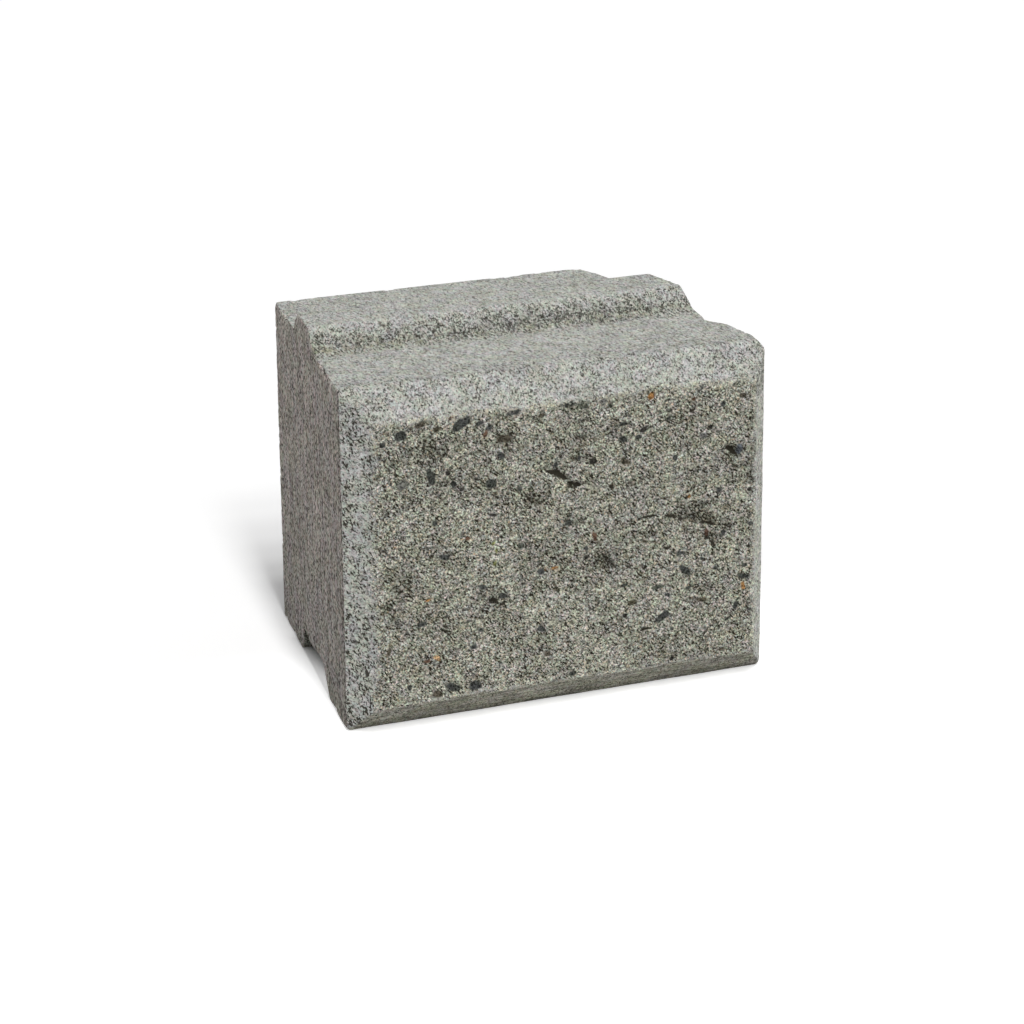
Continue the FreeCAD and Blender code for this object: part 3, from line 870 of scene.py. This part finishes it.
# top, bevels, underside and split face: cast skin behind the split's rim, broken grain in front of it
def mouldedMaterial(k):
    material, tree, place = newMaterial("mouldedConcrete")
    level = addStretch(tree, place, (1, k["speckDepth"], 1))
    speck = addGrain(tree, level, k["speckSize"])
    fine = addGrain(tree, level, k["fineSize"])
    coarse = addGrain(tree, place, k["grainSize"])
    blotch = addNoise(tree, place, k["blotchSize"])
    smear = addNoise(tree, place, k["smearSize"])

    # cast skin
    streak = addNoise(tree, addStretch(tree, place, (k["streakStretch"], 1, 1)), k["streakSize"])
    # underside skin, darker than the rest: partly its own streaked finish, partly painted shade under the
    # block
    underSkinAndShade = addTint(tree, k["underSkinAndShade"], addStep(tree, streak, *wide, *k["underShades"]))
    skin = addMix(tree, addField(tree, "underFinishAndShade"), k["skin"], underSkinAndShade)
    # partly painted light: bevels that face right take the paler skin, partly their own smoother skin
    skin = addMix(tree, addField(tree, "pale"), skin, k["paleLitSkin"])
    moss = addProduct(tree, addField(tree, "moss"), addStep(tree, smear, *spread))
    skin = addMix(tree, moss, skin, k["mossColour"])
    skin = addTint(tree, skin, addStep(tree, blotch, *wide, *k["skinShades"]))
    skinTone = addRamp(tree, addBlend(tree, k["skinFine"], speck["Tone"], fine["Tone"]), k["skinTones"])
    skin = addTint(tree, skin, skinTone)
    skin = addTint(tree, skin, addRamp(tree, speck["Kind"], k["skinTints"], "CONSTANT"))
    clumps = addStep(tree, smear, *falling, *k["clumping"])
    pits = addPits(tree, level, k["pitSize"], addProduct(tree, addField(tree, "opening"), clumps))
    turned = addNode(tree, "VectorRotate", {"Vector": place, "Angle": math.radians(k["dashTurn"])},
                     rotation_type="Y_AXIS").outputs[0]
    leaning = addStretch(tree, turned, (k["dashStretch"], 1, 1))
    torn = addPits(tree, leaning, k["tornSize"], addProduct(tree, addField(tree, "torn"), clumps))
    shadedPits = addProduct(tree, pits, addStep(tree, fine["Tone"], 0.0, 0.7, *k["pitShades"]))
    shadedPits = addMath(tree, "MAXIMUM", shadedPits, torn)
    # painted shade in the pits: open pores are painted near black
    skin = addMix(tree, shadedPits, skin, k["pitShadeColour"])

    # broken grain with its larger stones; its gaps are dark dashes that all lean the same way, painted
    # shadows between the grains
    shade = addField(tree, "shade")
    grain = addTint(tree, addRamp(tree, coarse["Tone"], k["grainTones"]),
                    addRamp(tree, fine["Tone"], k["fineTones"]))
    grain = addTint(tree, grain, addRamp(tree, coarse["Kind"], k["grainTints"], "CONSTANT"))
    grain = addTint(tree, grain, addStep(tree, blotch, *wide, *k["grainShades"]))
    loose = addStep(tree, addBlend(tree, 0.5, blotch, smear), *falling, *k["loosening"])
    gaps = addProduct(tree, addMath(tree, "MULTIPLY_ADD", shade, k["shadeDashes"], k["shadowDashes"]), loose)
    shadowDashes = addPits(tree, leaning, k["dashSize"], gaps)
    grain = addMix(tree, shadowDashes, grain, k["paintedShadeColour"])
    ragged = addMath(tree, "MULTIPLY_ADD", smear, 2.0, addField(tree, "stoneGap"))
    stoneTone = addBlend(tree, k["stoneFine"], speck["Tone"], fine["Tone"])
    stoneTone = addStep(tree, stoneTone, 0.1, 0.9, *k["stoneShades"])
    stoneColour = addTint(tree, addField(tree, "stoneColour", "Color"), stoneTone)
    grain = addMix(tree, addStep(tree, ragged, 1.5, 0.5), grain, stoneColour)
    # painted shade in the cracks: the grain turns near black along each crack, and darker in the painted
    # shade of the hollows
    ragged = addMath(tree, "MULTIPLY_ADD", fine["Tone"], 0.7, addField(tree, "crackGap"))
    crack = addProduct(tree, addStep(tree, ragged, 1.8, 1.1), addField(tree, "crackShade"))
    grain = addMix(tree, addMath(tree, "MAXIMUM", shade, crack), grain, k["paintedShadeColour"])

    # the border between the two crumbles grain by grain, with cream crumbs along the top
    ragged = addMath(tree, "ADD", addProduct(tree, smear, 2.0), coarse["Tone"])
    ragged = addMath(tree, "SUBTRACT", ragged, 1.5)
    ragged = addMath(tree, "MULTIPLY_ADD", ragged, k["border"], addField(tree, "splitGap"))
    broken = addStep(tree, ragged, -1.0, 1.0)
    colour = addMix(tree, broken, skin, grain)
    crumbs = addProduct(tree, addStep(tree, coarse["Kind"], 0.50, 0.65), addStep(tree, smear, 0.42, 0.58))
    crumbs = addProduct(tree, crumbs, addField(tree, "cream"))
    colour = addMix(tree, crumbs, colour, addTint(tree, k["creamColour"], skinTone))
    rough = addMath(tree, "MULTIPLY_ADD", fine["Height"], 0.5, addProduct(tree, speck["Height"], 0.4))
    skinHeight = addMath(tree, "SUBTRACT", rough, shadedPits)
    grainHeight = addMath(tree, "SUBTRACT", addMath(tree, "ADD", coarse["Height"], rough), shadowDashes)
    finishConcrete(tree, k, place, colour, addBlend(tree, broken, skinHeight, grainHeight))
    return material


sideLook = {
    "skin": (0.702, 0.645, 0.592), "darkSkin": (0.428, 0.393, 0.360), "pitShadeColour": (0.070, 0.060, 0.053),
    "tones": [(0.0, (0.06, 0.058, 0.056)), (0.25, (0.32, 0.314, 0.308)), (0.5, (0.74, 0.74, 0.74)),
              (0.75, (0.95, 0.95, 0.95)), (1.0, (1, 1, 1))],
    "tints": [(0.0, (1, 0.99, 0.975)), (0.36, (0.90, 0.985, 0.95)), (0.68, (1, 0.92, 0.925)),
              (0.94, (0.74, 0.64, 0.60))],
    "oliveTint": (0.980, 1, 0.955, 1), "ashTint": (1, 0.985, 1.050, 1),
    "lowTint": (0.850, 0.860, 0.865), "lowRise": (25.0, 110.0),    # duller near the ground, heights in mm
    "grainSize": 1.5, "fineSize": 0.8, "fineShare": 0.1, "pitSize": 1.4, "driftSize": 14.0,
    "streakSize": 3.4, "streakStretch": 0.13, "blotchSize": 14.0, "blotchStretch": 0.5, "blotchShare": 0.35,
    "lightening": (0.33, 0.63), "openings": (0.05, 0.25), "edgeOpening": 0.4,
    "roughness": 0.95, "specular": 0.10, "bump": 0.6, "bumpHeight": 0.0005,
}


# sides and back: fine upright drag marks left by the mould
def sideMaterial(k):
    material, tree, place = newMaterial("draggedConcrete")
    grain = addGrain(tree, place, k["grainSize"])
    fine = addGrain(tree, place, k["fineSize"])
    streak = addNoise(tree, addStretch(tree, place, (1, 1, k["streakStretch"])), k["streakSize"])
    blotch = addNoise(tree, addStretch(tree, place, (1, 1, k["blotchStretch"])), k["blotchSize"])
    lightness = addStep(tree, addBlend(tree, k["blotchShare"], streak, blotch), *k["lightening"])
    skin = addMix(tree, lightness, k["darkSkin"], k["skin"])
    tone = addBlend(tree, k["fineShare"], grain["Tone"], fine["Tone"])
    skin = addTint(tree, skin, addRamp(tree, tone, k["tones"]))
    skin = addTint(tree, skin, addRamp(tree, grain["Kind"], k["tints"], "CONSTANT"))
    height = addNode(tree, "SeparateXYZ", {0: place}).outputs["Z"]
    skin = addTint(tree, skin, addMix(tree, addStep(tree, height, *k["lowRise"]), k["lowTint"], (1, 1, 1)))
    opening = addStep(tree, streak, 0.45, 0.25, *k["openings"])
    opening = addMath(tree, "MULTIPLY_ADD", addField(tree, "edge"), k["edgeOpening"], opening)
    pits = addPits(tree, place, k["pitSize"], opening)
    # painted shade in the pits: open pores are painted near black
    skin = addMix(tree, pits, skin, k["pitShadeColour"])
    height = addMath(tree, "SUBTRACT", addMath(tree, "ADD", grain["Height"], streak), pits)
    finishConcrete(tree, k, place, skin, height)
    return material


moulded = mouldedMaterial(mouldedLook)
dragged = sideMaterial(sideLook)
for material in (moulded, moulded, dragged):    # split, cast, side
    block3d.data.materials.append(material)
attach(block3d, "root")
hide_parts("wall_block")
print("block dressed")

studio = {
    "azimuth": -22.454, "elevation": 18.525, "roll": -0.471, "distance": 1.8165,
    "aim": (-0.0352, -0.105, 0.1228), "lens": 114.6, "sensor": 36.0,
    "world": 0.22, "sun": 0.57, "sunTurn": 7.0, "sunHeights": [40, 48, 56, 64, 72], "sunAngle": 7.0,
    "floorColour": (0.85, 0.85, 0.85), "floorReach": 20.0, "floorGlow": 0.20, "frontGlow": 0.48,
    "glowRise": (0.06, -0.02), "asideRise": (0.102, 0.115), "beyondRise": (0.05, 0.075),    # in metres
}


def makeCamera(s):
    az, el = math.radians(s["azimuth"]), math.radians(s["elevation"])
    back = Vector((math.sin(az) * math.cos(el), -math.cos(az) * math.cos(el), math.sin(el)))
    right = Vector((0, 0, 1)).cross(back).normalized()
    up = back.cross(right)
    turn = Matrix((right, up, back)).transposed() @ Matrix.Rotation(math.radians(s["roll"]), 3, "Z")
    lens = bpy.data.cameras.new("camera")
    lens.lens = s["lens"]
    lens.sensor_width = s["sensor"]
    lens.clip_end = 50
    camera = bpy.data.objects.new("camera", lens)
    camera.matrix_world = Matrix.Translation(Vector(s["aim"]) + back * s["distance"]) @ turn.to_4x4()
    bpy.context.scene.collection.objects.link(camera)
    bpy.context.scene.camera = camera


# a tall soft light in front and a little to the left: five suns, one above the other
def makeSuns(s):
    turn = math.radians(s["sunTurn"])
    for height in s["sunHeights"]:
        lamp = bpy.data.lights.new("key", "SUN")
        lamp.energy = s["sun"]
        lamp.angle = math.radians(s["sunAngle"])
        light = bpy.data.objects.new("key", lamp)
        level = math.cos(math.radians(height))
        toLight = Vector((-math.sin(turn) * level, -math.cos(turn) * level, math.sin(math.radians(height))))
        light.rotation_euler = toLight.to_track_quat("Z", "Y").to_euler()
        bpy.context.scene.collection.objects.link(light)


# rays that show the background: the camera's own, and those by way of a mirror or of glass
def backgroundRays(tree):
    path = addNode(tree, "LightPath", {}).outputs
    mirrored = addMath(tree, "MAXIMUM", path["Is Glossy Ray"], path["Is Transmission Ray"])
    return addMath(tree, "MAXIMUM", path["Is Camera Ray"], mirrored)


# paper floor that reads white to the camera and still takes the shadow behind the block; in front of the
# block it glows brighter, painted light that lifts the shadow there
def makeFloor(s):
    mesh = bpy.data.meshes.new("floor")
    corners = [(-1, -1), (1, -1), (1, 1), (-1, 1)]
    mesh.from_pydata([(x * s["floorReach"], y * s["floorReach"], 0) for x, y in corners], [], [(0, 1, 2, 3)])
    floor = bpy.data.objects.new("floor", mesh)
    bpy.context.scene.collection.objects.link(floor)
    material = bpy.data.materials.new("paperFloor")
    material.use_nodes = True
    tree = material.node_tree
    shader = tree.nodes["Principled BSDF"]
    shader.inputs["Base Color"].default_value = (*s["floorColour"], 1)
    shader.inputs["Roughness"].default_value = 1.0
    shader.inputs["Specular IOR Level"].default_value = 0.0
    shader.inputs["Emission Color"].default_value = (1, 1, 1, 1)
    place = addNode(tree, "SeparateXYZ", {0: addNode(tree, "TexCoord", {}).outputs["Object"]})
    # painted light: the floor in front of the block glows more strongly than behind it
    glow = addStep(tree, place.outputs["Y"], *s["glowRise"], s["floorGlow"], s["frontGlow"])
    aside = addStep(tree, addMath(tree, "ABSOLUTE", place.outputs["X"]), *s["asideRise"])
    beyond = addStep(tree, addMath(tree, "ABSOLUTE", place.outputs["Y"]), *s["beyondRise"])
    glow = addProduct(tree, glow, addMath(tree, "MAXIMUM", aside, beyond))    # none under the block
    tree.links.new(addProduct(tree, backgroundRays(tree), glow), shader.inputs["Emission Strength"])
    mesh.materials.append(material)


def makeWorld(s):
    world = bpy.data.worlds.new("studio")
    bpy.context.scene.world = world
    world.use_nodes = True
    tree = world.node_tree
    background = tree.nodes["Background"]
    background.inputs["Color"].default_value = (1, 1, 1, 1)
    tree.links.new(addBlend(tree, backgroundRays(tree), s["world"], 1.0), background.inputs["Strength"])


makeCamera(studio)
makeSuns(studio)
makeFloor(studio)
makeWorld(studio)
bpy.context.scene.view_settings.view_transform = "Standard"
print("studio set")

bpy.context.view_layer.update()
